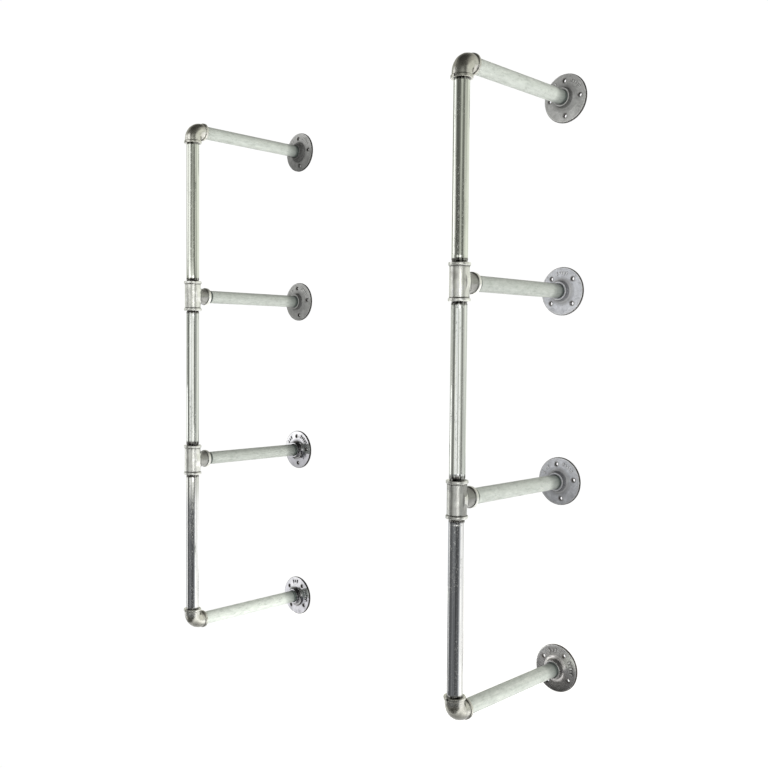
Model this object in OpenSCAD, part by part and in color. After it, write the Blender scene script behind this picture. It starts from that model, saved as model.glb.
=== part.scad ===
// Pair of four-tier wall frames built from threaded pipe and malleable fittings.
// Each frame: three riser pipes, two elbows, two tees, four arm pipes, four wall flanges.
// The wall is the plane Y = 0, the arms reach out along -Y and +Z is up.
// The origin is the centre of the wall face of the lowest flange of the left frame.

/* [Frames] */
// Height from one shelf arm to the next, axis to axis
tier_spacing = 352; // [250:1:450]
// Distance from the wall to the riser axis
reach = 305; // [200:1:400]
// Distance from the left frame to the right frame
frame_spacing = 731; // [300:1:1200]

/* [Pipe] */
// Outside diameter of the pipe
pipe_od = 26.9; // [26:0.1:28]
// Wall thickness of the pipe
pipe_wall = 2.6; // [2.3:0.1:2.8]

/* [Thread] */
// Distance from one thread crest to the next
thread_pitch = 1.814; // [1.5:0.001:2.2]
// Depth of the thread
thread_depth = 1.1; // [0.5:0.05:1.2]
// Number of thread turns cut on each pipe end
thread_turns = 9; // [7:1:10]
// Length of pipe screwed into each fitting and flange
engagement = 12.5; // [9:0.5:13]
// Radial gap between thread crests and socket
thread_gap = 0.05; // [0.02:0.01:0.1]

/* [Fittings] */
// Outside diameter of the plain body of elbows and tees
body_od = 33.2; // [32:0.1:35]
// Outside diameter of the bands at the mouths
band_od = 37; // [35:0.1:40]
// Width of each band
band_w = 5.4; // [4:0.1:8]
// Distance from the elbow's centre to each mouth
elbow_reach = 28; // [27:0.5:36]
// Bend radius of the elbow's centre line
elbow_bend = 18.6; // [17.5:0.1:19]
// Half of the height of the tee's straight run
tee_run_reach = 31.5; // [30:0.5:38]
// Distance from the tee's centre to its side mouth
tee_branch_reach = 36; // [34:0.5:42]

/* [Wall flanges] */
// Diameter of the flange
flange_d = 89; // [84:1:100]
// Distance from the wall to the hub's lip
hub_h = 18; // [16:0.5:22]
// Thickness of the plate at its rim
rim_t = 4.4; // [3:0.1:6]
// Diameter of the circle through the screw holes
hole_pcd = 64; // [60:1:72]
// Diameter of a screw hole
hole_d = 7; // [5:0.1:8]
// Turn of each left flange, lowest first, in degrees
left_clock = [53, 5, 6, 4];
// Turn of each right flange, lowest first, in degrees
right_clock = [57, 9, 44, 2];

/* [Hidden] */
$fn = 96;
left_x = 0;
right_x = frame_spacing;
pipe_r = pipe_od / 2;
bore_r = pipe_r - pipe_wall;
crest_r = pipe_r - 0.25;
root_r = crest_r - thread_depth;
socket_r = crest_r + thread_gap;
socket_depth = engagement + 1;
thread_len = thread_turns * thread_pitch;
body_r = body_od / 2;
band_r = band_od / 2;
edge_r = 1.5;
mouth_chamfer = 2.2;
flange_r = flange_d / 2;
hub_lip_r = 17;
hub_foot_r = 18.6;
hub_fillet = 6;
hub_chamfer = 1.2;
face_rise = 1.8;
hole_count = 4;
hole_edge = 1;
eps = 0.02;

riser_colour = [0.74, 0.76, 0.76];
arm_colour = [0.78, 0.81, 0.78];
fitting_colour = [0.62, 0.62, 0.59];
flange_colour = [0.55, 0.56, 0.60];

// Height of the arm axis on tiers 1 (lowest) to 4
function tier_z(tier) = (tier - 1) * tier_spacing;

// Points on a circular arc in the profile plane
function arc(cx, cy, r, a0, a1, steps) =
    [for (i = [0 : steps]) let (a = a0 + (a1 - a0) * i / steps) [cx + r * cos(a), cy + r * sin(a)]];

// Outline of one threaded end: rings of one pitch each, from the end z = 0 inwards
function thread_profile() = [
    for (i = [0 : thread_turns - 1])
        for (p = [[root_r, 0.05], [crest_r, 0.42], [crest_r, 0.62]])
            [p[0], (i + p[1]) * thread_pitch]
];

// Pipe of the given length along +Z from the origin, threaded at both ends
module threaded_pipe(length) {
    near = thread_profile();
    last = len(near) - 1;
    far = [for (i = [0 : last]) [near[last - i][0], length - near[last - i][1]]];
    outline = concat(
        [[bore_r, 0], [root_r, 0]],
        near,
        [[root_r, thread_len], [pipe_r, thread_len + 1]],
        [[pipe_r, length - thread_len - 1], [root_r, length - thread_len]],
        far,
        [[root_r, length], [bore_r, length]]
    );
    rotate_extrude() polygon(outline);
}

// Straight stretch of a fitting along +Z from z0 to its banded mouth at z1
module banded_neck(z0, z1) {
    foot = z1 - band_w;
    outline = concat(
        [[0, z0], [body_r, z0], [body_r, foot - 1]],
        arc(band_r - edge_r, foot + edge_r, edge_r, -60, 0, 4),
        arc(band_r - edge_r, z1 - edge_r, edge_r, 0, 90, 4),
        [[0, z1]]
    );
    rotate_extrude() polygon(outline);
}

// Screwed socket with a chamfered mouth, bored down from a mouth at z1
module socket(z1) {
    translate([0, 0, z1 - socket_depth]) cylinder(r = socket_r, h = socket_depth + eps);
    translate([0, 0, z1 - mouth_chamfer])
        cylinder(r1 = socket_r, r2 = socket_r + mouth_chamfer + eps, h = mouth_chamfer + eps);
}

// Quarter ring from the +Z leg to the +Y leg of an elbow
module elbow_bend_solid(r) {
    translate([0, elbow_bend, elbow_bend]) rotate([90, 0, 90]) rotate([0, 0, 180])
        rotate_extrude(angle = 90) translate([elbow_bend, 0]) circle(r = r);
}

// Turns a shape that stands on +Z so that it points along +Y
module towards_wall() {
    rotate([-90, 0, 0]) children();
}

// Elbow with one mouth up and one mouth towards the wall
module elbow_shape() {
    difference() {
        union() {
            elbow_bend_solid(body_r);
            banded_neck(elbow_bend, elbow_reach);
            towards_wall() banded_neck(elbow_bend, elbow_reach);
        }
        elbow_bend_solid(bore_r);
        translate([0, 0, elbow_bend - eps]) cylinder(r = bore_r, h = elbow_reach);
        towards_wall() translate([0, 0, elbow_bend - eps]) cylinder(r = bore_r, h = elbow_reach);
        socket(elbow_reach);
        towards_wall() socket(elbow_reach);
    }
}

module elbow_bottom(x) {
    color(fitting_colour) translate([x, -reach, tier_z(1)]) elbow_shape();
}

module elbow_top(x) {
    color(fitting_colour) translate([x, -reach, tier_z(4)]) mirror([0, 0, 1]) elbow_shape();
}

// Tee with a vertical run and a side mouth towards the wall
module tee(x, tier) {
    color(fitting_colour) translate([x, -reach, tier_z(tier)])
        difference() {
            union() {
                banded_neck(-eps, tee_run_reach);
                mirror([0, 0, 1]) banded_neck(-eps, tee_run_reach);
                towards_wall() banded_neck(0, tee_branch_reach);
            }
            cylinder(r = bore_r, h = 2 * tee_run_reach + 1, center = true);
            towards_wall() cylinder(r = bore_r, h = tee_branch_reach + 1);
            socket(tee_run_reach);
            mirror([0, 0, 1]) socket(tee_run_reach);
            towards_wall() socket(tee_branch_reach);
        }
}

// Riser pipe between the mouths at heights z0 and z1
module riser(x, z0, z1) {
    color(riser_colour) translate([x, -reach, z0 - engagement])
        threaded_pipe(z1 - z0 + 2 * engagement);
}

module riser_lower(x) {
    riser(x, tier_z(1) + elbow_reach, tier_z(2) - tee_run_reach);
}

module riser_middle(x) {
    riser(x, tier_z(2) + tee_run_reach, tier_z(3) - tee_run_reach);
}

module riser_upper(x) {
    riser(x, tier_z(3) + tee_run_reach, tier_z(4) - elbow_reach);
}

// Arm pipe from a fitting's side mouth into its wall flange
module arm(x, tier) {
    mouth = tier == 1 || tier == 4 ? elbow_reach : tee_branch_reach;
    start = reach - mouth + engagement;
    finish = hub_h - engagement;
    color(arm_colour) translate([x, -start, tier_z(tier)]) towards_wall()
        threaded_pipe(start - finish);
}

// Round wall flange: wall face at Y = 0, hub along -Y, four screw holes turned by clock
module wall_flange(x, tier, clock) {
    foot_h = rim_t + face_rise;
    outline = concat(
        [[0, 0], [flange_r - 0.5, 0], [flange_r, 0.5]],
        arc(flange_r - edge_r, rim_t - edge_r, edge_r, 0, 80, 4),
        arc(hub_foot_r + hub_fillet, foot_h + hub_fillet, hub_fillet, 265, 180, 8),
        arc(hub_lip_r - edge_r / 2, hub_h - edge_r / 2, edge_r / 2, 10, 90, 3),
        [[0, hub_h]]
    );
    color(flange_colour) translate([x, 0, tier_z(tier)]) rotate([90, 0, 0]) rotate([0, 0, clock])
        difference() {
            rotate_extrude() polygon(outline);
            translate([0, 0, -1]) cylinder(r = socket_r, h = hub_h + 2);
            translate([0, 0, hub_h - hub_chamfer])
                cylinder(r1 = socket_r, r2 = socket_r + hub_chamfer + eps, h = hub_chamfer + eps);
            for (i = [0 : hole_count - 1])
                rotate([0, 0, i * 360 / hole_count]) translate([hole_pcd / 2, 0, 0]) {
                    translate([0, 0, -1]) cylinder(d = hole_d, h = hub_h);
                    translate([0, 0, rim_t])
                        cylinder(d1 = hole_d, d2 = hole_d + 4 * hole_edge, h = 2 * hole_edge);
                }
        }
}

elbow_bottom(left_x);  // left_elbow_bottom
riser_lower(left_x);  // left_riser_lower
tee(left_x, 2);  // left_tee_lower
riser_middle(left_x);  // left_riser_middle
tee(left_x, 3);  // left_tee_upper
riser_upper(left_x);  // left_riser_upper
elbow_top(left_x);  // left_elbow_top
arm(left_x, 1);  // left_arm_1
arm(left_x, 2);  // left_arm_2
arm(left_x, 3);  // left_arm_3
arm(left_x, 4);  // left_arm_4
wall_flange(left_x, 1, left_clock[0]);  // left_flange_1
wall_flange(left_x, 2, left_clock[1]);  // left_flange_2
wall_flange(left_x, 3, left_clock[2]);  // left_flange_3
wall_flange(left_x, 4, left_clock[3]);  // left_flange_4
elbow_bottom(right_x);  // right_elbow_bottom
riser_lower(right_x);  // right_riser_lower
tee(right_x, 2);  // right_tee_lower
riser_middle(right_x);  // right_riser_middle
tee(right_x, 3);  // right_tee_upper
riser_upper(right_x);  // right_riser_upper
elbow_top(right_x);  // right_elbow_top
arm(right_x, 1);  // right_arm_1
arm(right_x, 2);  // right_arm_2
arm(right_x, 3);  // right_arm_3
arm(right_x, 4);  // right_arm_4
wall_flange(right_x, 1, right_clock[0]);  // right_flange_1
wall_flange(right_x, 2, right_clock[1]);  // right_flange_2
wall_flange(right_x, 3, right_clock[2]);  // right_flange_3
wall_flange(right_x, 4, right_clock[3]);  // right_flange_4
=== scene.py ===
from math import cos, degrees, pi, radians, sin

import bpy
import numpy as np
from mathutils import Matrix, Vector


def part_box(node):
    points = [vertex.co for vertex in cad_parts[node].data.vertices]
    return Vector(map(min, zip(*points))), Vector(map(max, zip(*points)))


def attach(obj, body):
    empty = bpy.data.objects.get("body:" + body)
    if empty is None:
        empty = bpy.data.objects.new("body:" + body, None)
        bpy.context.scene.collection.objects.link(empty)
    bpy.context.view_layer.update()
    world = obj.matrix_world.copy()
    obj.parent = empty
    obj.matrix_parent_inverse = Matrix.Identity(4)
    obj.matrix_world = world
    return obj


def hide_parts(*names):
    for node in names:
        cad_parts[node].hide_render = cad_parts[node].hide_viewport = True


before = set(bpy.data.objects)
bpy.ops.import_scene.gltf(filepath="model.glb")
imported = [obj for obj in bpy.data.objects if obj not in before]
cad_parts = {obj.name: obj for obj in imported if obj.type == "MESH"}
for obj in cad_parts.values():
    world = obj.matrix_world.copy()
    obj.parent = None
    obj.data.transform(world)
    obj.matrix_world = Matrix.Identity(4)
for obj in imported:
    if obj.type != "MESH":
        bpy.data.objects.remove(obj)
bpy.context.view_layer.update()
scene = bpy.context.scene
MM = 0.001
SIDES = ("left", "right")

# ---------------------------------------------------------------- sizes, in millimetres

# 3/4 inch pipe and its thread
PIPE_R = 13.45
BORE_R = 10.85
CREST_R = 13.2
ROOT_R = 12.1
PITCH = 1.814
THREAD_LEN = 16.3
SEAM_DEPTH = 0.10
BITE_DEPTH = 0.05

# Elbows and tees: body, bands round the mouths, and how far the mouths are from the centre
SOCKET_R = 13.25
SOCKET_DEPTH = 13.5
MOUTH_CHAMFER = 2.2
BODY_R = 16.6
BODY_INSET = 1.5
BAND_R = 18.5
BAND_W = 5.4
BAND_EDGE = 1.3
BRANCH_BAND_MORE = 1.6
PARTING_W = 0.55
ELBOW_REACH = 28.0
ELBOW_BEND = 18.6
RUN_REACH = 31.5
BRANCH_REACH = 36.0

# Floor flanges
FLANGE_R = 44.5
FACE_EDGE = FLANGE_R - 1
HUB_H = 18.0
RIM_T = 4.4
FACE_RISE = 1.8
HUB_LIP_R = 17.0
HUB_FOOT_R = 18.6
HUB_CHAMFER = 1.2
HOLE_PCD_R = 32.0
HOLE_R = 3.5
HOLE_SLACK = 0.2
MARK_R = 34.0
MARK_LEN = 6.4
MARK_W = 1.7
CRISP_RELIEF = 1.7

# Step of the grid that the castings are meshed on, and the share of triangles kept
CELL = 0.6
KEPT = 0.42


# ---------------------------------------------------------------- solids as distance fields

def smooth_step(a, b, v):
    """0 at a, 1 at b, with soft ends."""
    t = np.clip((v - a) / (b - a), 0, 1)
    return t * t * (3 - 2 * t)


def soft_union(a, b, k):
    """What is in a or in b, with a fillet of about k."""
    h = np.clip(0.5 + 0.5 * (b - a) / k, 0, 1)
    return b + (a - b) * h - k * h * (1 - h)


def soft_cut(a, b, k):
    """What is left of a outside b, with a rounding of about k."""
    return -soft_union(-a, b, k)


def soft_both(a, b, k):
    """What is in both a and b, with a rounding of about k."""
    return -soft_union(-a, -b, k)


def ring_block(rho, t, r, t0, t1, edge):
    """Round block about an axis from t0 to t1: rho is measured from the axis, t along it."""
    q0 = rho - (r - edge)
    q1 = np.abs(t - (t0 + t1) / 2) - ((t1 - t0) / 2 - edge)
    return np.minimum(np.maximum(q0, q1), 0) + np.hypot(np.maximum(q0, 0), np.maximum(q1, 0)) - edge


def bar(p, centre, along, length, width, height, edge=0.45):
    """Rounded bar lying in the plane of x and z, length along an angle in degrees."""
    a = radians(along)
    u = (p[:, 0] - centre[0]) * cos(a) + (p[:, 2] - centre[2]) * sin(a)
    v = -(p[:, 0] - centre[0]) * sin(a) + (p[:, 2] - centre[2]) * cos(a)
    w = p[:, 1] - centre[1]
    q = np.stack([np.abs(u) - length / 2 + edge, np.abs(v) - width / 2 + edge,
                  np.abs(w) - height + edge], 1)
    return np.linalg.norm(np.maximum(q, 0), axis=1) + np.minimum(q.max(1), 0) - edge


def cast_skin(p, seed, size, depth):
    """Slow waviness of a sand-cast skin."""
    rng = np.random.default_rng(seed)
    total = np.zeros(len(p))
    for i in range(10):
        way = rng.normal(size=3)
        way *= 2 * pi / (size * rng.uniform(0.7, 1.6)) / np.linalg.norm(way)
        total += np.sin(p @ way + rng.uniform(0, 2 * pi))
    return total * depth / 3.2


def socket_void(rho, t, reach):
    """Threaded socket: bored hole with a chamfered mouth."""
    flare = np.clip(t - (reach - MOUTH_CHAMFER), 0, MOUTH_CHAMFER + 4)
    return np.maximum((rho - SOCKET_R - flare) * 0.8, reach - SOCKET_DEPTH - t)


def elbow_field(p):
    """Elbow with mouths towards +Z and +Y."""
    x, y, z = p.T
    leg_z, leg_y = np.hypot(x, y), np.hypot(x, z)
    bend = np.hypot(np.hypot(y - ELBOW_BEND, z - ELBOW_BEND) - ELBOW_BEND, x)
    up, out = z - ELBOW_BEND, y - ELBOW_BEND
    axis = np.where((up < 0) & (out < 0), bend,
                    np.where((up >= 0) & (out >= 0), np.minimum(leg_z, leg_y),
                             np.where(up >= 0, leg_z, leg_y)))
    solid = np.maximum(axis - BODY_R, np.maximum(z, y) - ELBOW_REACH + BODY_INSET)
    for rho, t in ((leg_z, z), (leg_y, y)):
        band = ring_block(rho, t, BAND_R, ELBOW_REACH - BAND_W, ELBOW_REACH, BAND_EDGE)
        solid = soft_union(solid, band, 1.1)
    outer = np.clip((np.hypot(y - ELBOW_BEND, z - ELBOW_BEND) - ELBOW_BEND) / 8, 0, 1)
    solid = solid - 0.16 * outer * np.exp(-((x / PARTING_W) ** 2))
    solid = solid + cast_skin(p, 5, 12.0, 0.06)
    void = axis - BORE_R
    void = np.minimum(void, socket_void(leg_z, z, ELBOW_REACH))
    void = np.minimum(void, socket_void(leg_y, y, ELBOW_REACH))
    return soft_cut(solid, void, 0.7)


def tee_field(p):
    """Tee with its run along Z and its side mouth towards +Y."""
    x, y, z = p.T
    run, branch = np.hypot(x, y), np.hypot(x, z)
    run_body = np.maximum(run - BODY_R, np.abs(z) - RUN_REACH + BODY_INSET)
    branch_body = np.maximum(branch - BODY_R, np.maximum(-y, y - BRANCH_REACH + BODY_INSET))
    solid = soft_union(run_body, branch_body, 5.0)
    for t in (z, -z):
        band = ring_block(run, t, BAND_R, RUN_REACH - BAND_W, RUN_REACH, BAND_EDGE)
        solid = soft_union(solid, band, 1.0)
    band = ring_block(branch, y, BAND_R, BRANCH_REACH - BAND_W - BRANCH_BAND_MORE, BRANCH_REACH, BAND_EDGE)
    solid = soft_union(solid, band, 1.2)
    solid = solid - 0.14 * np.exp(-((x / PARTING_W) ** 2)) * np.clip((run - 15) / 2, 0, 1)
    solid = solid + cast_skin(p, 8, 14.0, 0.035)
    void = np.minimum(np.maximum(run - BORE_R, np.abs(z) - RUN_REACH - 1),
                      np.maximum(branch - BORE_R, -y))
    void = np.minimum(void, socket_void(run, np.abs(z), RUN_REACH))
    void = np.minimum(void, socket_void(branch, y, BRANCH_REACH))
    return soft_cut(solid, void, 0.7)


def flange_field(p, relief=1.0):
    """Wall flange: wall face at Y = 0, hub along -Y, four screw holes, the first one on +X.

    The casting marks are plain bars that stand in for lettering; relief is their height.
    """
    x, y, z = p.T
    t, rho = -y, np.hypot(x, z)
    slope = np.clip((FACE_EDGE - rho) / (FACE_EDGE - HUB_FOOT_R - 5), 0, 1)
    face = RIM_T + FACE_RISE * slope ** 1.3
    plate = soft_both(rho - FLANGE_R, (t - face) * 0.97, 2.2)
    plate = soft_both(plate, -t, 0.8)
    hub = rho - (HUB_FOOT_R + (HUB_LIP_R - HUB_FOOT_R) * np.clip(t / HUB_H, 0, 1))
    hub = soft_both(np.maximum(hub, -t), t - HUB_H, 0.9)
    solid = soft_both(soft_union(plate, hub, 8.0), -t, 0.5)
    marks = np.full(len(p), 9.0)
    mark_w = MARK_W + 0.4 * (relief > 1)
    for centre_deg, count, step in ((135, 3, 8.5), (45, 5, 6.6)):
        for i in range(count):
            a = radians(centre_deg + (i - (count - 1) / 2) * step * 1.35)
            c = (MARK_R * cos(a), -(RIM_T + 0.9), MARK_R * sin(a))
            mark = bar(p, c, degrees(a), MARK_LEN - (i % 2) * 2.0, mark_w, relief)
            marks = np.minimum(marks, mark)
    solid = soft_union(solid, marks, 0.3)
    solid = solid + cast_skin(p, 11, 12.0, 0.05) * np.clip(t / 2, 0, 1)
    holes = np.full(len(p), 99.0)
    for i in range(4):
        a = i * pi / 2
        q = np.hypot(x - HOLE_PCD_R * cos(a), z - HOLE_PCD_R * sin(a))
        hole = (q - HOLE_R + HOLE_SLACK + np.clip(2.6 - t, 0, 2.4) * 0.2
                - np.clip(t - RIM_T - 0.4, 0, 0.8)) * 0.85
        holes = np.minimum(holes, hole)
    void = np.minimum(rho - SOCKET_R - np.clip(t - (HUB_H - HUB_CHAMFER), 0, 6), holes)
    return soft_cut(solid, void, 0.5)


def skin_of(field, lo, hi, h):
    """Quad skin of a distance field, by averaging the crossings in each cell."""
    axes = [np.arange(a, b + h, h) for a, b in zip(lo, hi)]
    n = [len(a) for a in axes]
    grid = np.stack(np.meshgrid(*axes, indexing="ij"), -1).reshape(-1, 3)
    value = np.concatenate([field(c) for c in np.array_split(grid, 1 + len(grid) // 400000)])
    value = value.reshape(n)
    inside = value < 0
    corner = [(i, j, k) for i in (0, 1) for j in (0, 1) for k in (0, 1)]
    cut = [slice(0, -1), slice(1, None)]
    parts = [inside[cut[i], cut[j], cut[k]] for i, j, k in corner]
    mixed = np.logical_or.reduce(parts) & ~np.logical_and.reduce(parts)
    cells = np.argwhere(mixed)
    index = np.full(mixed.shape, -1, np.int64)
    index[mixed] = np.arange(len(cells))
    total, hits = np.zeros((len(cells), 3)), np.zeros(len(cells))
    for a in corner:
        for axis in range(3):
            if a[axis]:
                continue
            b = tuple(v + (1 if m == axis else 0) for m, v in enumerate(a))
            va = value[tuple((cells + a).T)]
            vb = value[tuple((cells + b).T)]
            cross = (va < 0) != (vb < 0)
            s = np.where(cross, va / np.where(va == vb, 1, va - vb), 0)
            point = np.array(a, float) + s[:, None] * (np.array(b) - np.array(a))
            total[cross] += point[cross]
            hits[cross] += 1
    verts = np.array(lo) + (cells + total / hits[:, None]) * h
    faces = []
    for axis in range(3):
        o1, o2 = (axis + 1) % 3, (axis + 2) % 3
        a = inside[tuple(slice(0, -1) if m == axis else slice(1, -1) for m in range(3))]
        b = inside[tuple(slice(1, None) if m == axis else slice(1, -1) for m in range(3))]
        for edges, flip in ((a & ~b, False), (b & ~a, True)):
            at = np.argwhere(edges)
            for m in (o1, o2):
                at[:, m] += 1
            loop = []
            for d1, d2 in ((0, 0), (1, 0), (1, 1), (0, 1)):
                c = at.copy()
                c[:, o1] -= 1 - d1
                c[:, o2] -= 1 - d2
                loop.append(index[tuple(c.T)])
            quad = np.stack(loop, 1)
            faces.append(quad[:, ::-1] if flip else quad)
    return verts, np.concatenate(faces)


def slope_of(field, p):
    """Gradient of the field at the points p."""
    e = 0.02
    return np.stack([field(p + d) - field(p - d) for d in np.eye(3) * e], 1) / (2 * e)


def settle(field, p, rounds, reach):
    """Moves points onto the surface of the field, none further than reach."""
    start = p.copy()
    for _ in range(rounds):
        g = slope_of(field, p)
        p = p - (field(p) / np.maximum((g ** 2).sum(1), 0.2))[:, None] * g
        away = p - start
        far = np.linalg.norm(away, axis=1)
        p = start + away * np.minimum(1, reach / np.maximum(far, 1e-9))[:, None]
    return p


def plain_mesh(name, verts, faces):
    """Smooth-shaded mesh from arrays of points and of faces with equal numbers of corners."""
    mesh = bpy.data.meshes.new(name)
    mesh.vertices.add(len(verts))
    mesh.vertices.foreach_set("co", np.asarray(verts, np.float32).ravel())
    sides = faces.shape[1]
    mesh.loops.add(len(faces) * sides)
    mesh.loops.foreach_set("vertex_index", faces.astype(np.int32).ravel())
    mesh.polygons.add(len(faces))
    mesh.polygons.foreach_set("loop_start", np.arange(len(faces), dtype=np.int32) * sides)
    mesh.update(calc_edges=True)
    mesh.validate()
    mesh.polygons.foreach_set("use_smooth", np.ones(len(faces), bool))
    return mesh


def casting(name, field, lo, hi):
    """A casting's points, triangles, normals, hollowness that sets its painted shade, and convex edges that
    are lightened where rubbed and by a painted highlight, thinned where it is flat.
    """
    h, keep = CELL, KEPT
    verts, quads = skin_of(field, lo, hi, h)
    ends = np.concatenate([quads[:, [0, 1]], quads[:, [1, 2]], quads[:, [2, 3]], quads[:, [3, 0]]])
    for _ in range(2):
        near = np.zeros_like(verts)
        count = np.zeros(len(verts))
        np.add.at(near, ends[:, 0], verts[ends[:, 1]])
        np.add.at(count, ends[:, 0], 1)
        np.add.at(near, ends[:, 1], verts[ends[:, 0]])
        np.add.at(count, ends[:, 1], 1)
        verts = settle(field, 0.5 * verts + 0.5 * near / count[:, None], 2, h)
    mesh = plain_mesh(name, verts, quads)
    temp = bpy.data.objects.new(name, mesh)
    scene.collection.objects.link(temp)
    thin = temp.modifiers.new("thin", "DECIMATE")
    thin.ratio = keep
    got = bpy.data.meshes.new_from_object(
        temp.evaluated_get(bpy.context.evaluated_depsgraph_get()))
    bpy.data.objects.remove(temp)
    got.calc_loop_triangles()
    points = np.zeros(len(got.vertices) * 3, np.float32)
    got.vertices.foreach_get("co", points)
    tris = np.zeros(len(got.loop_triangles) * 3, np.int32)
    got.loop_triangles.foreach_get("vertices", tris)
    points = settle(field, points.reshape(-1, 3).astype(float), 3, 0.5)
    slope = slope_of(field, points)
    normals = slope / np.linalg.norm(slope, axis=1)[:, None]
    # Hollowness from how little open air lies along the normal: the materials turn it into painted shade in
    # corners and creases
    steps = (1.5, 4.0, 9.0, 16.0)
    open_air = sum(np.clip(field(points + normals * d) / d, 0, 1) for d in steps) / 4
    # Convex edges, which the materials lighten: partly where rubbed, partly as a painted highlight on lips
    # and band edges
    edge_wear_glint = sum(np.clip(1 + field(points - normals * d) / d, 0, 1) for d in (0.8, 1.6)) / 2
    return points, tris.reshape(-1, 3), normals, 1 - open_air, edge_wear_glint


def grade(mesh, name, values):
    """Stores a number for each point of the mesh, for its material to read."""
    layer = mesh.attributes.new(name, "FLOAT", "POINT")
    layer.data.foreach_set("value", np.asarray(values, np.float32))


def flange_shade_and_dark_edges(node, points, normals, hollow):
    """How hollow each point of a flange counts, for its painted shade, and how dark at its edges."""
    radius = np.hypot(points[:, 0], points[:, 2])
    level = np.abs(normals[:, 1])
    # Less painted shade round the casting marks, except on the flanges that keep it
    if node not in CLEAR_MARKS:
        marks = (radius > 28) & (radius < 40) & (level > 0.3)
        hollow = np.where(marks, hollow * 0.35, hollow)
    # Painted shade on the hub's flank, where it meets the plate
    flank = np.clip(1.15 - level, 0, 1) * (radius > HUB_LIP_R - 0.5) * (radius < 25)
    hollow = np.maximum(hollow, 0.70 * flank)
    # This flange is drawn darker all round its hub
    if node == DARK_HUB:
        hollow = np.maximum(hollow, 0.42 * ((radius < 24) & (points[:, 1] < -RIM_T)))
    big, small = np.abs(points[:, [0, 2]]).max(1), np.abs(points[:, [0, 2]]).min(1)
    to_hole = np.hypot(big - HOLE_PCD_R, small) - HOLE_R
    # Dark outer edge of the plate; the hole walls and the face round the holes get painted shade
    edge = (radius > FLANGE_R - 1.8) & (level < 0.88)
    rim = np.maximum(edge, (to_hole < 1.0) & (level < 0.55))
    rim = np.maximum(rim, 0.75 * np.clip(1.5 - to_hole / 1.6, 0, 1) * (to_hole < 4))
    return hollow, rim


def tee_shade(node, points, hollow):
    """How hollow each point of a tee counts, for its painted shade: more at its neck, along one flank, in
    its fillet and in the grooves by its run bands.
    """
    x, y, z = points.T
    run, outside = np.hypot(x, y), np.hypot(x, z) > 14
    hollow = np.where(outside & (y > 20), np.minimum(hollow, 0.38), hollow)
    # Painted shade on the branch's neck
    neck = smooth_step(7, 14, y) * (y < BRANCH_REACH - BAND_W - 1.2)
    hollow = np.maximum(hollow, 0.37 * neck * outside)
    # Painted shade along the flank towards the camera's right
    across = (x * 0.73 + y * 0.69) / BODY_R
    flank = smooth_step(0.1, 0.6, across) * (run > 16) * (run < 17.5)
    hollow = np.maximum(hollow, TEE_FLANK_SHADE.get(node, 0) * flank)
    # Painted shade in the crotch where the branch meets the run
    fillet = smooth_step(17.2, 18.1, run) * smooth_step(24, 19, run) * (y > 8) * outside
    hollow = np.maximum(hollow, 0.44 * fillet * (np.abs(z) < 19))
    # Painted shade in the grooves beside the run bands
    groove = np.exp(-((np.abs(z) - RUN_REACH + BAND_W + 0.8) / 0.9) ** 2)
    return np.maximum(hollow, 0.46 * groove * ((run > 16) & (run < 18.2)))


def placed(name, shape, matrix, shift, body, material, node, slot_name):
    """One piece made from a casting's points, turned by matrix and moved to its place."""
    points, tris, normals, hollow, edge_wear_glint = shape
    m = np.array(matrix, float)
    turned = points @ m.T
    way = normals @ m.T
    verts = turned * MM + np.array(shift)
    faces = tris if np.linalg.det(m) > 0 else tris[:, ::-1]
    mesh = plain_mesh(name, verts, faces)
    mesh.normals_split_custom_set_from_vertices([tuple(v) for v in way])
    grade(mesh, "edge_wear_glint", np.clip(edge_wear_glint * 3, 0, 1))
    rim, tone = np.zeros(len(points)), np.full(len(points), TONE.get(node, 1.0))
    if slot_name == "flange_casting":
        hollow, rim = flange_shade_and_dark_edges(node, points, normals, hollow)
        # Painted light: the flange drawn lighter or darker towards its top edge
        tone = tone * (1 + TOP_LIGHT_LEAN.get(node, 0) * turned[:, 2] / FLANGE_R)
    elif "tee" in node:
        hollow = tee_shade(node, points, hollow)
    elif "elbow_bottom" in node:
        # Painted shade on the bottom elbow's downward-facing side
        hollow = np.maximum(hollow, 0.66 * smooth_step(-0.2, 0.6, -way[:, 2]))
    grade(mesh, "tone", tone)
    grade(mesh, "rim", rim)
    grade(mesh, "hollow", hollow)
    return finish_piece(name, mesh, body, material, node)


def finish_piece(name, mesh, body, material, node):
    """Puts the piece into the scene, on its body, in place of its CAD node."""
    mesh.materials.append(material)
    obj = bpy.data.objects.new(name, mesh)
    scene.collection.objects.link(obj)
    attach(obj, body)
    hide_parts(node)
    return obj


# How light each piece's coat is beside its neighbours, where it isn't 1
TONE = {
    "left_arm_1": 1.46, "left_arm_2": 0.94, "left_arm_3": 0.97, "left_arm_4": 1.08,
    "right_arm_1": 1.10, "right_arm_2": 0.97, "right_arm_3": 0.86, "right_arm_4": 1.05,
    "left_tee_lower": 0.96, "right_tee_lower": 0.80,
    "right_elbow_top": 0.85, "right_elbow_bottom": 0.85,
    "left_flange_2": 0.94, "left_flange_3": 0.80, "left_flange_4": 0.72,
    "right_flange_1": 1.60, "right_flange_2": 0.73, "right_flange_3": 1.02, "right_flange_4": 0.88,
}
# Painted light: how much lighter a flange is drawn towards its top edge, darker where negative
TOP_LIGHT_LEAN = {
    "left_flange_2": 0.4, "left_flange_3": 0.25, "left_flange_4": 0.55,
    "right_flange_1": 0.80, "right_flange_2": 0.24, "right_flange_3": -0.08, "right_flange_4": -0.18,
}
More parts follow.
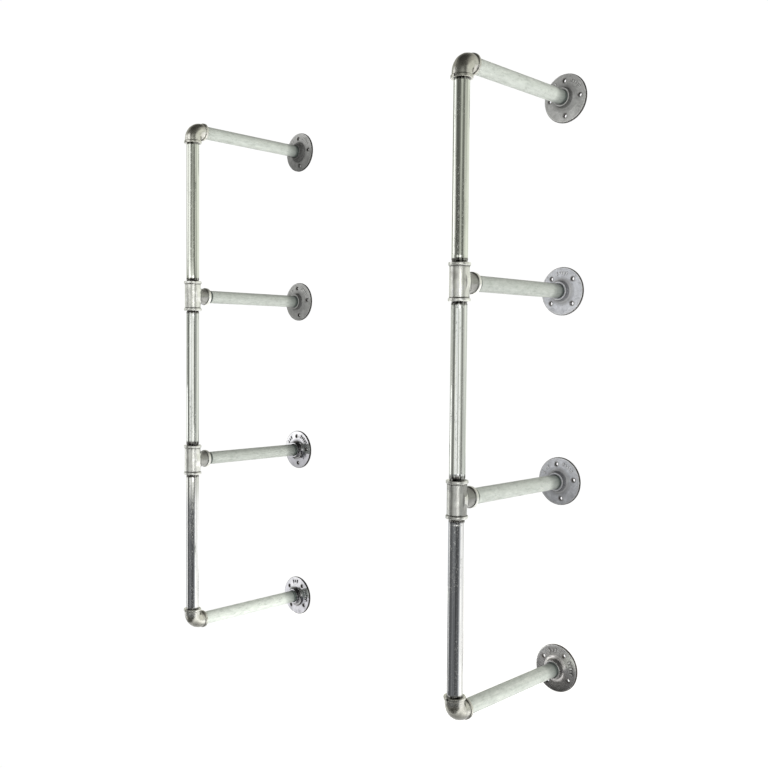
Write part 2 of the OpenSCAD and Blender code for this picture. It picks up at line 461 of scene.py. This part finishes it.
# Flanges that keep the painted shade round their casting marks, and the one drawn darker round its hub
CLEAR_MARKS = ("left_flange_1", "left_flange_2", "right_flange_1")
DARK_HUB = "left_flange_4"
# Painted shade along the flank of these tees towards the camera's right
TEE_FLANK_SHADE = {"right_tee_lower": 0.34, "right_tee_upper": 0.17}


# ---------------------------------------------------------------- threaded pipe

def pipe_rings(length, seam, turn):
    """Rings of points of a pipe along +Z: a cut helical thread at both ends, and last the bore.

    seam is the angle of the weld seam, turn the angle that the threads start at.
    """
    columns = 96
    angle = np.sort(np.concatenate([
        np.arange(columns) * 2 * pi / columns,
        (seam + np.array([-0.06, -0.03, -0.015, 0.0, 0.015, 0.03, 0.06])) % (2 * pi)]))
    near = np.concatenate([np.arange(0, THREAD_LEN + 1.5, PITCH / 7),
                           np.linspace(THREAD_LEN + 2, 25, 8)])
    body = np.linspace(28, length - 28, 2 + int(length / 24))
    rows = np.concatenate([near, body, length - near[::-1]])
    rings = []
    for z in rows:
        end, way = (z, 1.0) if z < length / 2 else (length - z, -1.0)
        phase = (end / PITCH - way * (angle + turn) / (2 * pi)) % 1.0
        tooth = np.clip((1 - np.abs(2 * phase - 1) - 0.1) / 0.8, 0, 1)
        cut = ROOT_R + (CREST_R - ROOT_R) * tooth
        cut = np.minimum(cut, ROOT_R + 0.1 + end * 0.9)
        runout = smooth_step(THREAD_LEN - PITCH * 1.6, THREAD_LEN + 0.6, end)
        r = cut + (PIPE_R - cut) * runout
        gap = (angle - seam + pi) % (2 * pi) - pi
        r = r - SEAM_DEPTH * np.exp(-((gap / 0.028) ** 2)) * runout
        bite = smooth_step(THREAD_LEN - 2, THREAD_LEN + 1, end) * smooth_step(7.5, 3.5, end - THREAD_LEN)
        r = r - BITE_DEPTH * bite * (1 + np.cos(24 * angle + 2.0 * np.sin(3 * angle + turn)))
        rings.append(np.stack([r * np.cos(angle), r * np.sin(angle), np.full(len(angle), z)], 1))
    for z in (length - 0.4, 0.4):
        rings.append(np.stack([BORE_R * np.cos(angle), BORE_R * np.sin(angle),
                               np.full(len(angle), z)], 1))
    return np.array(rings)


def pipe(name, start, end, seam, fades, body, material, node):
    """Pipe between two points, in metres, along Z or along Y.

    fades holds two numbers for each end, in mm: how far past the thread the darkening is full, and
    over what length it then fades away. At a thread it is dark residue; at an arm's flange end it is
    painted shade.
    """
    start, end = np.array(start), np.array(end)
    length = np.linalg.norm(end - start) / MM
    rings = pipe_rings(length, seam, seam * 3)
    count, columns = rings.shape[:2]
    grid = np.arange(count * columns).reshape(count, columns)
    a, b = grid, np.roll(grid, -1, 0)
    faces = np.stack([a, np.roll(a, -1, 1), np.roll(b, -1, 1), b], -1).reshape(-1, 4)
    way = (end - start) / np.linalg.norm(end - start)
    if abs(way[2]) > 0.5:
        m = np.eye(3)
    else:
        m = np.array([[1, 0, 0], [0, 0, 1], [0, -1, 0]], float)
    verts = rings.reshape(-1, 3) @ m.T * MM + start
    mesh = plain_mesh(name, verts, faces)
    mesh.set_sharp_from_angle(angle=radians(50))
    z = rings.reshape(-1, 3)[:, 2]
    grime_and_shade = np.zeros(len(z))
    for end_z, (full, fade) in zip((z, length - z), fades):
        grime_and_shade = np.maximum(grime_and_shade, np.clip(1 - (end_z - THREAD_LEN - full) / fade, 0, 1))
    grade(mesh, "grime_and_shade", grime_and_shade)
    grade(mesh, "tone", np.full(len(z), TONE.get(node, 1.0)))
    return finish_piece(name, mesh, body, material, node)


# ---------------------------------------------------------------- materials

class Nodes:
    """Short way to write a material's nodes."""

    def __init__(self, name):
        self.mat = bpy.data.materials.new(name)
        self.mat.use_nodes = True
        self.tree = self.mat.node_tree
        self.tree.nodes.clear()
        self.out = self.add("ShaderNodeOutputMaterial")
        self.shader = self.add("ShaderNodeBsdfPrincipled")
        self.tree.links.new(self.shader.outputs["BSDF"], self.out.inputs["Surface"])
        self.coords = self.add("ShaderNodeTexCoord").outputs["Object"]

    def add(self, kind, **values):
        node = self.tree.nodes.new(kind)
        for key, value in values.items():
            setattr(node, key, value)
        return node

    def put(self, value, socket):
        if isinstance(value, bpy.types.NodeSocket):
            self.tree.links.new(value, socket)
        else:
            socket.default_value = value

    def stretch(self, scale):
        node = self.add("ShaderNodeMapping")
        self.put(self.coords, node.inputs["Vector"])
        node.inputs["Scale"].default_value = scale
        return node.outputs["Vector"]

    def noise(self, scale, detail=4.0, rough=0.55, where=None, warp=0.0):
        node = self.add("ShaderNodeTexNoise")
        self.put(where or self.coords, node.inputs["Vector"])
        node.inputs["Scale"].default_value = scale
        node.inputs["Detail"].default_value = detail
        node.inputs["Roughness"].default_value = rough
        node.inputs["Distortion"].default_value = warp
        return node.outputs["Fac"]

    def ramp(self, value, stops, smooth=False):
        node = self.add("ShaderNodeValToRGB")
        if smooth:
            node.color_ramp.interpolation = "EASE"
        self.put(value, node.inputs["Fac"])
        stop = node.color_ramp.elements
        while len(stop) < len(stops):
            stop.new(0.5)
        for element, (at, colour) in zip(stop, stops):
            element.position = at
            colour = (colour,) * 3 if isinstance(colour, (int, float)) else colour
            element.color = (*colour, 1)
        return node.outputs["Color"]

    def mix(self, amount, a, b, mode="MIX"):
        node = self.add("ShaderNodeMix", data_type="RGBA", blend_type=mode)
        self.put(amount, node.inputs["Factor"])
        for value, socket in ((a, node.inputs[6]), (b, node.inputs[7])):
            if isinstance(value, tuple):
                value = (*value, 1)
            self.put(value, socket)
        return node.outputs[2]

    def math(self, kind, a, b):
        node = self.add("ShaderNodeMath", operation=kind)
        self.put(a, node.inputs[0])
        self.put(b, node.inputs[1])
        return node.outputs[0]

    def attribute(self, name):
        return self.add("ShaderNodeAttribute", attribute_name=name).outputs["Fac"]

    def toned(self, colour):
        """The colour made lighter or darker by the piece's own tone."""
        grey = self.add("ShaderNodeCombineColor")
        for socket in grey.inputs:
            self.put(self.attribute("tone"), socket)
        return self.mix(1.0, colour, grey.outputs[0], "MULTIPLY")

    def bump(self, height, distance, strength, under=None):
        node = self.add("ShaderNodeBump")
        self.put(height, node.inputs["Height"])
        node.inputs["Distance"].default_value = distance
        node.inputs["Strength"].default_value = strength
        if under:
            self.put(under, node.inputs["Normal"])
        return node.outputs["Normal"]


def bright_zinc(name, dark, light, rough):
    """Drawn pipe with a bright zinc coat: fine lengthwise streaks, blotches, oily cut threads."""
    n = Nodes(name)
    fine = n.noise(1000, 3, 0.6, n.stretch((1, 1, 0.008)))
    line = n.noise(480, 2, 0.5, n.stretch((1, 1, 0.005)))
    blotch = n.noise(60, 4, 0.6, n.stretch((1, 1, 0.35)))
    tone = n.ramp(line, [(0.36, tuple(c * 0.62 for c in dark)), (0.46, dark), (0.62, light)])
    tone = n.mix(n.ramp(blotch, [(0.50, 0.0), (0.72, 0.35)]), tone, tuple(c * 0.82 for c in dark))
    dashes = n.noise(420, 2, 0.5, n.stretch((1, 1, 0.12)))
    grime_and_shade = n.math("MULTIPLY", n.attribute("grime_and_shade"), n.ramp(dashes, [(0.42, 0.55), (0.54, 1.0)]))
    tone = n.mix(n.ramp(grime_and_shade, [(0.25, 0.0), (0.85, 1.0)]), tone, (0.07, 0.065, 0.06))
    n.put(tone, n.shader.inputs["Base Color"])
    fleck = n.noise(620, 3, 0.7, n.stretch((1, 1, 0.35)))
    flecks = n.math("MULTIPLY", n.ramp(fleck, [(0.50, 0.0), (0.68, 0.42)]),
                    n.ramp(blotch, [(0.42, 0.25), (0.62, 1.0)]))
    n.put(n.math("ADD", n.ramp(fine, [(0.3, rough[0]), (0.75, rough[1])]), flecks),
          n.shader.inputs["Roughness"])
    n.shader.inputs["Metallic"].default_value = 1.0
    under = n.bump(line, 0.00002, 0.3)
    n.put(n.bump(blotch, 0.00012, 0.2, under), n.shader.inputs["Normal"])
    return n.mat


def dull_zinc(name, low, mid, high):
    """Matt weathered zinc: pale grey-green with clouds, fine specks and lengthwise wipes."""
    n = Nodes(name)
    cloud = n.noise(170, 5, 0.70, n.stretch((1, 0.4, 1)), warp=0.3)
    wipe = n.noise(420, 3, 0.6, n.stretch((1, 0.05, 1)))
    speck = n.noise(750, 2, 0.7, n.stretch((1, 0.6, 1)))
    patch = n.noise(32, 3, 0.5)
    tone = n.ramp(cloud, [(0.30, low), (0.50, mid), (0.72, high)], True)
    tone = n.mix(n.ramp(wipe, [(0.50, 0.0), (0.75, 0.4)]), tone, tuple(c * 0.84 for c in low))
    specks = n.math("MULTIPLY", n.ramp(speck, [(0.60, 0.0), (0.70, 0.75)]),
                    n.ramp(patch, [(0.42, 0.2), (0.58, 1.0)]))
    tone = n.mix(specks, tone, tuple(c * 0.42 for c in low))
    # Dark thread residue, and painted shade along the arm by its flange
    grime_and_shade = n.ramp(n.attribute("grime_and_shade"),
                   [(0.0, 0.0), (0.16, 0.22), (0.42, 0.52), (0.85, 0.74), (0.96, 1.0)])
    tone = n.mix(grime_and_shade, tone, (0.085, 0.10, 0.092))
    n.put(n.toned(tone), n.shader.inputs["Base Color"])
    n.put(n.ramp(cloud, [(0.3, 0.58), (0.7, 0.42)]), n.shader.inputs["Roughness"])
    n.shader.inputs["Metallic"].default_value = 0.35
    under = n.bump(speck, 0.00005, 0.5)
    n.put(n.bump(cloud, 0.00015, 0.3, under), n.shader.inputs["Normal"])
    return n.mat


def cast_metal(name, tones, metallic, rough, grain, blot, pitted, hollow_shade_range, glint_wear_share=0.5):
    """Sand-cast iron with a zinc coat: fine grain, clouds of tone, painted shade in the low places.

    blot is the scale of the clouds, hollow_shade_range how hollow a place is where the painted shade starts
    and is full.
    """
    n = Nodes(name)
    dark, mid, light = tones
    cloud = n.noise(blot, 5, 0.65, warp=0.5)
    pits = n.noise(1500, 2, 0.6)
    coarse = n.noise(520, 3, 0.6)
    tone = n.ramp(cloud, [(0.3, dark), (0.5, mid), (0.7, light)], True)
    tone = n.mix(n.ramp(coarse, [(0.55, 0.0), (0.75, pitted)]), tone, tuple(c * 0.5 for c in dark))
    # Lighter convex edges: partly rubbed metal, partly a painted highlight
    tone = n.mix(n.math("MULTIPLY", n.attribute("edge_wear_glint"), glint_wear_share), tone,
                 tuple(min(c * 1.5, 0.95) for c in light))
    # Painted shade: darker towards a deep dark tone where the casting is hollow
    low = n.math("MULTIPLY", n.ramp(n.attribute("hollow"), [(hollow_shade_range[0], 0.0), (hollow_shade_range[1], 1.0)], True),
                 n.ramp(coarse, [(0.3, 1.0), (0.7, 0.75)]))
    tone = n.mix(low, tone, tuple(c * 0.22 for c in dark))
    # Dark plate edges, and painted shade in and round the screw holes
    tone = n.mix(n.math("MULTIPLY", n.attribute("rim"), 0.96), tone, (0.03, 0.025, 0.022))
    n.put(n.toned(tone), n.shader.inputs["Base Color"])
    n.put(n.ramp(coarse, [(0.3, rough[0]), (0.7, rough[1])]), n.shader.inputs["Roughness"])
    n.shader.inputs["Metallic"].default_value = metallic
    under = n.bump(pits, 0.00005, grain)
    n.put(n.bump(coarse, 0.00012, grain, under), n.shader.inputs["Normal"])
    return n.mat


def greys(level, tint):
    """Dark, middle and light tones of one metal about a level."""
    return [tuple(level * k * c for c in tint) for k in (0.72, 1.0, 1.25)]


RISER = {
    "lower": bright_zinc("bright_zinc_lower", (0.74, 0.74, 0.73), (0.88, 0.88, 0.855), (0.04, 0.09)),
    "middle": bright_zinc("bright_zinc_middle", (0.74, 0.76, 0.75), (0.92, 0.93, 0.91), (0.04, 0.09)),
    "upper": bright_zinc("bright_zinc_upper", (0.70, 0.72, 0.66), (0.86, 0.88, 0.81), (0.04, 0.09)),
}
ARM = dull_zinc("dull_zinc", (0.43, 0.46, 0.42), (0.54, 0.57, 0.53), (0.63, 0.66, 0.61))
ELBOW = cast_metal("elbow_zinc", greys(0.68, (1.0, 0.985, 0.89)), metallic=1.0, rough=(0.20, 0.32),
                   grain=0.30, blot=70, pitted=0.25, hollow_shade_range=(0.16, 0.75))
TEE = cast_metal("tee_zinc", greys(0.92, (1.0, 1.0, 0.95)), metallic=1.0, rough=(0.29, 0.36),
                 grain=0.10, blot=45, pitted=0.10, hollow_shade_range=(0.05, 0.48))
FLANGES = {
    "pale": cast_metal("flange_zinc_pale", greys(0.66, (0.96, 0.975, 1.04)), metallic=0.5,
                       rough=(0.42, 0.58), grain=0.6, blot=120, pitted=0.4, hollow_shade_range=(0.06, 0.46), glint_wear_share=0.85),
    "mid": cast_metal("flange_zinc_mid", greys(0.46, (1.0, 1.0, 0.98)), metallic=0.5,
                      rough=(0.40, 0.55), grain=0.7, blot=120, pitted=0.45, hollow_shade_range=(0.06, 0.46), glint_wear_share=0.85),
    "dark": cast_metal("flange_zinc_dark", greys(0.42, (1.03, 1.0, 0.99)), metallic=0.9,
                       rough=(0.23, 0.31), grain=0.14, blot=90, pitted=0.2, hollow_shade_range=(0.06, 0.5), glint_wear_share=1.0),
    "bright": cast_metal("flange_zinc_bright", greys(0.62, (1.0, 0.99, 1.04)), metallic=1.0,
                         rough=(0.09, 0.14), grain=0.04, blot=60, pitted=0.1, hollow_shade_range=(0.10, 0.46), glint_wear_share=0.3),
}
# Grade of zinc of each frame's four flanges, from the lowest up
FLANGE_TONE = {"left": ("bright", "bright", "mid", "mid"), "right": ("dark", "pale", "pale", "mid")}

# ---------------------------------------------------------------- pieces

elbow = casting("elbow", elbow_field, (-20, -18.5, -18.5), (20, 29.5, 29.5))
tee = casting("tee", tee_field, (-20, -20, -33), (20, 37.5, 33))
flange = casting("flange", flange_field, (-46, -19.5, -46), (46, 1.5, 46))
crisp_flange = casting("crisp_flange", lambda p: flange_field(p, CRISP_RELIEF),
                       (-46, -19.5, -46), (46, 1.5, 46))


def clock_of(node):
    """Turn of a flange's screw holes about its axis, read from the edges of its wall face."""
    lo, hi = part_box(node)
    mid = (lo + hi) / 2
    pts = np.array([v.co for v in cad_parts[node].data.vertices])
    x, z = (pts[:, 0] - mid.x) / MM, (pts[:, 2] - mid.z) / MM
    rho = np.hypot(x, z)
    at = (pts[:, 1] > -1e-4) & (rho > 26) & (rho < 38)
    return np.angle(np.mean(np.exp(4j * np.arctan2(z[at], x[at])))) / 4


EYE = np.eye(3)
UPSIDE_DOWN = np.diag([1.0, 1.0, -1.0])
# Angle of each riser's weld seam, in degrees
RISER_SEAM = {"lower": 300, "middle": 40, "upper": 318}
# Darkening past the thread at each pipe's two ends, as pipe() takes it: dark residue at the threads
RISER_GRIME = {"lower": ((-3, 3), (0, 4.5)), "middle": ((2, 7), (0, 4.5)), "upper": ((1.5, 3.5), (-2.5, 3))}
# Arm ends: dark thread residue at the fitting end, and at the flange end a long fade of painted shade
ELBOW_ARM_GRIME_AND_SHADE = ((-3.4, 1.6), (0, 26))
TEE_ARM_GRIME_AND_SHADE = ((3.2, 1.4), (0, 26))
FITTINGS = ("elbow_bottom", "tee_lower", "tee_upper", "elbow_top")

for s, side in enumerate(SIDES):
    lo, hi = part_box(side + "_riser_middle")
    rx, ry = (lo.x + hi.x) / 2, (lo.y + hi.y) / 2
    for part in RISER:
        node = f"{side}_riser_{part}"
        lo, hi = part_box(node)
        pipe(node + "_pipe", (rx, ry, lo.z), (rx, ry, hi.z), radians(RISER_SEAM[part] + 20 * s),
             RISER_GRIME[part], "root", RISER[part], node)
    for tier in range(1, 5):
        at_end = tier in (1, 4)
        node = f"{side}_arm_{tier}"
        lo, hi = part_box(node)
        ax, az = (lo.x + hi.x) / 2, (lo.z + hi.z) / 2
        pipe(node + "_pipe", (ax, lo.y, az), (ax, hi.y, az), radians(200 + 37 * tier + 90 * s),
             ELBOW_ARM_GRIME_AND_SHADE if at_end else TEE_ARM_GRIME_AND_SHADE, "root", ARM, node)
        plate = f"{side}_flange_{tier}"
        grade_of = FLANGE_TONE[side][tier - 1]
        c = clock_of(plate)
        turn = np.array([[cos(c), 0, -sin(c)], [0, 1, 0], [sin(c), 0, cos(c)]])
        placed(plate + "_casting", crisp_flange if grade_of in ("bright", "dark") else flange, turn,
               (ax, 0, az), f"{side}_wall_flange_{tier}", FLANGES[grade_of], plate, "flange_casting")
        fit = f"{side}_{FITTINGS[tier - 1]}"
        placed(fit + "_casting", elbow if at_end else tee, UPSIDE_DOWN if tier == 4 else EYE,
               (rx, ry, az), "root", ELBOW if at_end else TEE, fit, "fitting_casting")

# ---------------------------------------------------------------- studio

# Camera fitted to the photo: its place from the middle of the frames, its turn, its focal length
CAMERA_PLACE = (1.3235, -1.4961, 0.5981)
YAW, PITCH, ROLL = radians(43.32), radians(-2.24), radians(0.50)
FOCAL_PIXELS = 941.86
IMAGE_PIXELS = 768
SENSOR_MM = 36

mid_x = (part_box("left_riser_middle")[0].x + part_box("right_riser_middle")[1].x) / 2
camera = bpy.data.objects.new("camera", bpy.data.cameras.new("camera"))
scene.collection.objects.link(camera)
ahead = Vector((-sin(YAW) * cos(PITCH), cos(YAW) * cos(PITCH), sin(PITCH)))
level_way = Vector((cos(YAW), sin(YAW), 0))
steep_way = level_way.cross(ahead)
right_way = cos(ROLL) * level_way + sin(ROLL) * steep_way
up_way = -sin(ROLL) * level_way + cos(ROLL) * steep_way
camera.matrix_world = Matrix((
    (right_way.x, up_way.x, -ahead.x, mid_x + CAMERA_PLACE[0]),
    (right_way.y, up_way.y, -ahead.y, CAMERA_PLACE[1]),
    (right_way.z, up_way.z, -ahead.z, CAMERA_PLACE[2]),
    (0, 0, 0, 1)))
camera.data.sensor_width = SENSOR_MM
camera.data.lens = FOCAL_PIXELS / IMAGE_PIXELS * SENSOR_MM
camera.data.clip_end = 60
scene.camera = camera


def studio():
    """White to the camera, and a room of light and dark screens as seen in the metal.

    Each row of tones gives brightness by compass angle, 0 being straight behind the camera, and
    one row goes over into the next by height above the horizon, in degrees.
    """
    world = bpy.data.worlds.new("studio")
    scene.world = world
    world.use_nodes = True
    tree = world.node_tree
    tree.nodes.clear()
    link = tree.links.new

    def node(kind, **values):
        made = tree.nodes.new(kind)
        for key, value in values.items():
            setattr(made, key, value)
        return made

    def math(kind, a, b=None, c=None):
        made = node("ShaderNodeMath", operation=kind)
        for value, socket in zip((a, b, c), made.inputs):
            if isinstance(value, bpy.types.NodeSocket):
                link(value, socket)
            elif value is not None:
                socket.default_value = value
        return made.outputs[0]

    way = node("ShaderNodeSeparateXYZ")
    link(node("ShaderNodeTexCoord").outputs["Generated"], way.inputs[0])
    x, y, z = way.outputs
    compass = math("ARCTAN2", x, math("MULTIPLY", y, -1.0))
    compass = math("WRAP", math("SUBTRACT", compass, YAW), pi, -pi)
    across = math("MULTIPLY_ADD", compass, 1 / (2 * pi), 0.5)
    height = math("ARCSINE", z)

    def ramp(stops):
        made = node("ShaderNodeValToRGB")
        link(across, made.inputs["Fac"])
        stop = made.color_ramp.elements
        while len(stop) < len(stops):
            stop.new(0.5)
        for element, (deg, colour) in zip(stop, stops):
            element.position = (deg + 180) / 360
            element.color = (*colour, 1)
        return made.outputs["Color"]

    green, cool, warm = (0.98, 1.0, 0.92), (0.94, 0.99, 1.04), (1.01, 1.0, 0.92)
    soft = (0.95, 0.985, 1.04)

    def tones(tint, *stops):
        """Ramp of tinted greys; what is brighter than 1.1 is left white."""
        return ramp([(deg, tuple(level * c for c in (tint if level < 1.1 else (1, 1, 1))))
                     for deg, level in stops])

    top = tones(green, (-180, 1.0), (-150, 0.6), (-138, 0.25), (-126, 0.6), (-112, 1.1), (-82, 1.1),
                (-72, 0.2), (-58, 0.11), (-30, 0.12), (-12, 0.28), (0, 0.62), (12, 0.60),
                (22, 0.22), (38, 0.16), (50, 0.40), (60, 0.86), (110, 0.86), (150, 1.0))
    mid = tones(green, (-180, 1.0), (-150, 0.75), (-116, 0.55), (-90, 0.38), (-76, 0.16), (-61, 0.20),
                (-47, 0.92), (-26, 1.25), (-12, 0.70), (0, 0.72), (10, 1.1), (24, 0.95),
                (36, 0.35), (52, 0.20), (64, 0.45), (76, 0.80), (140, 0.80), (180, 1.0))
    low = tones(soft, (-180, 1.0), (-150, 0.45), (-128, 0.25), (-100, 0.13), (-76, 0.10), (-50, 0.18),
                (-30, 0.24), (-14, 0.12), (4, 0.08), (24, 0.11), (36, 0.22), (50, 0.60),
                (60, 1.3), (72, 1.12), (100, 1.15), (150, 1.3))
    lid = tones(warm, (-180, 0.35), (-120, 0.40), (-70, 0.14), (0, 0.07), (50, 0.12), (90, 0.60),
                (140, 0.60), (180, 0.35))
    ground = tones(warm, (-180, 0.9), (-120, 0.5), (-80, 0.2), (-40, 0.10), (20, 0.09), (60, 0.4),
                   (100, 0.9), (180, 0.9))

    def between(a, b, low_deg, high_deg):
        """a below low_deg and b above high_deg."""
        share = math("DIVIDE", math("SUBTRACT", height, radians(low_deg)),
                     radians(high_deg - low_deg))
        made = node("ShaderNodeMix", data_type="RGBA", clamp_factor=True)
        link(share, made.inputs["Factor"])
        link(a, made.inputs[6])
        link(b, made.inputs[7])
        return made.outputs[2]

    walls = between(ground, low, -32, -22)
    walls = between(walls, mid, -9.4, -8.4)
    walls = between(walls, top, 4.0, 5.0)
    walls = between(walls, lid, 20, 34)
    walls = between(walls, tones(warm, (-180, 0.06), (180, 0.06)), 44, 62)
    seen = node("ShaderNodeMix", data_type="RGBA")
    link(node("ShaderNodeLightPath").outputs["Is Camera Ray"], seen.inputs["Factor"])
    link(walls, seen.inputs[6])
    seen.inputs[7].default_value = (1.0, 1.0, 1.0, 1)
    back = node("ShaderNodeBackground")
    link(seen.outputs[2], back.inputs["Color"])
    back.inputs["Strength"].default_value = 1.02
    link(back.outputs[0], node("ShaderNodeOutputWorld").inputs["Surface"])


FLOOR_R = 2.4
FLOOR_PLACE = (1.7, -0.8)


def floor():
    """Plain pale floor: a disc below the frames that glows out into the white at its edge."""
    steps = 96
    radii = (0.8, 1.6, FLOOR_R)
    ring = [(0, 0, 0)] + [(cos(a) * r, sin(a) * r, 0) for r in radii
                         for a in np.linspace(0, 2 * pi, steps, endpoint=False)]
    faces = [(0, 1 + i, 1 + (i + 1) % steps) for i in range(steps)]
    for k in range(len(radii) - 1):
        base = 1 + k * steps
        for i in range(steps):
            j = (i + 1) % steps
            faces.append((base + i, base + steps + i, base + steps + j, base + j))
    mesh = bpy.data.meshes.new("floor")
    mesh.from_pydata(ring, [], faces)
    obj = bpy.data.objects.new("floor", mesh)
    obj.location = (mid_x, *FLOOR_PLACE)
    scene.collection.objects.link(obj)
    n = Nodes("floor_paint")
    n.put(n.ramp(n.noise(3, 3), [(0.3, (0.86, 0.86, 0.85)), (0.7, (0.90, 0.90, 0.89))]),
          n.shader.inputs["Base Color"])
    n.shader.inputs["Roughness"].default_value = 0.9
    n.shader.inputs["Emission Color"].default_value = (1, 1, 1, 1)
    along = n.add("ShaderNodeSeparateXYZ")
    n.put(n.coords, along.inputs[0])
    far = n.add("ShaderNodeVectorMath", operation="LENGTH")
    n.put(n.coords, far.inputs[0])
    glow = n.ramp(n.math("ADD", along.outputs["Y"], FLOOR_R), [(0.0, 0.05), (1.0, 0.8)], True)
    rim = n.ramp(n.math("MULTIPLY", far.outputs["Value"], 1 / FLOOR_R),
                 [(0.72, 0.0), (0.99, 0.9)], True)
    n.put(n.math("MAXIMUM", glow, rim), n.shader.inputs["Emission Strength"])
    mesh.materials.append(n.mat)


def lamp(name, where, at, size, power, shines=True, lights=True):
    """Area lamp at where, facing at; shines is for reflections, lights for diffuse light."""
    data = bpy.data.lights.new(name, "AREA")
    data.shape = "RECTANGLE"
    data.size, data.size_y = size
    data.energy = power
    obj = bpy.data.objects.new(name, data)
    obj.location = where
    obj.rotation_euler = (Vector(at) - Vector(where)).to_track_quat("-Z", "Y").to_euler()
    obj.visible_glossy = shines
    obj.visible_diffuse = lights
    obj.visible_camera = False
    scene.collection.objects.link(obj)


studio()
floor()
centre = (mid_x, -0.2, 0.53)
lamp("front_soft", (mid_x + 0.6, -3.0, 1.0), centre, (2.4, 2.4), 62, shines=False)
lamp("right_soft", (mid_x + 3.0, -0.8, 0.6), centre, (2.0, 2.0), 66, shines=False)
lamp("left_card", (-0.95, -0.80, -0.13), (0, 0, 0.1), (0.60, 1.20), 2.2)

# Near cards, for highlights that only one piece shows
lo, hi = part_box("left_riser_upper")
at = Vector(((lo.x + hi.x) / 2, (lo.y + hi.y) / 2, 1.01))
lamp("left_strip", at + Vector((-0.035, -0.32, 0)), at, (0.22, 0.52), 0.40, lights=False)
CARD_AWAY = 0.35
for side, turn in (("left", 22), ("right", 6)):
    for part, drop in (("tee_lower", -0.050), ("tee_upper", 0.022)):
        lo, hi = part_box(side + "_" + part)
        at = Vector(((lo.x + hi.x) / 2, lo.y + BAND_R * MM, (lo.z + hi.z) / 2))
        way = YAW + radians(turn)
        away = Vector((sin(way), -cos(way), 0)) * CARD_AWAY
        lamp(f"card_{side}_{part}", at + away + Vector((0, 0, drop)), at, (0.15, 0.085), 0.055)

scene.view_settings.view_transform = "Standard"
scene.view_settings.look = "None"
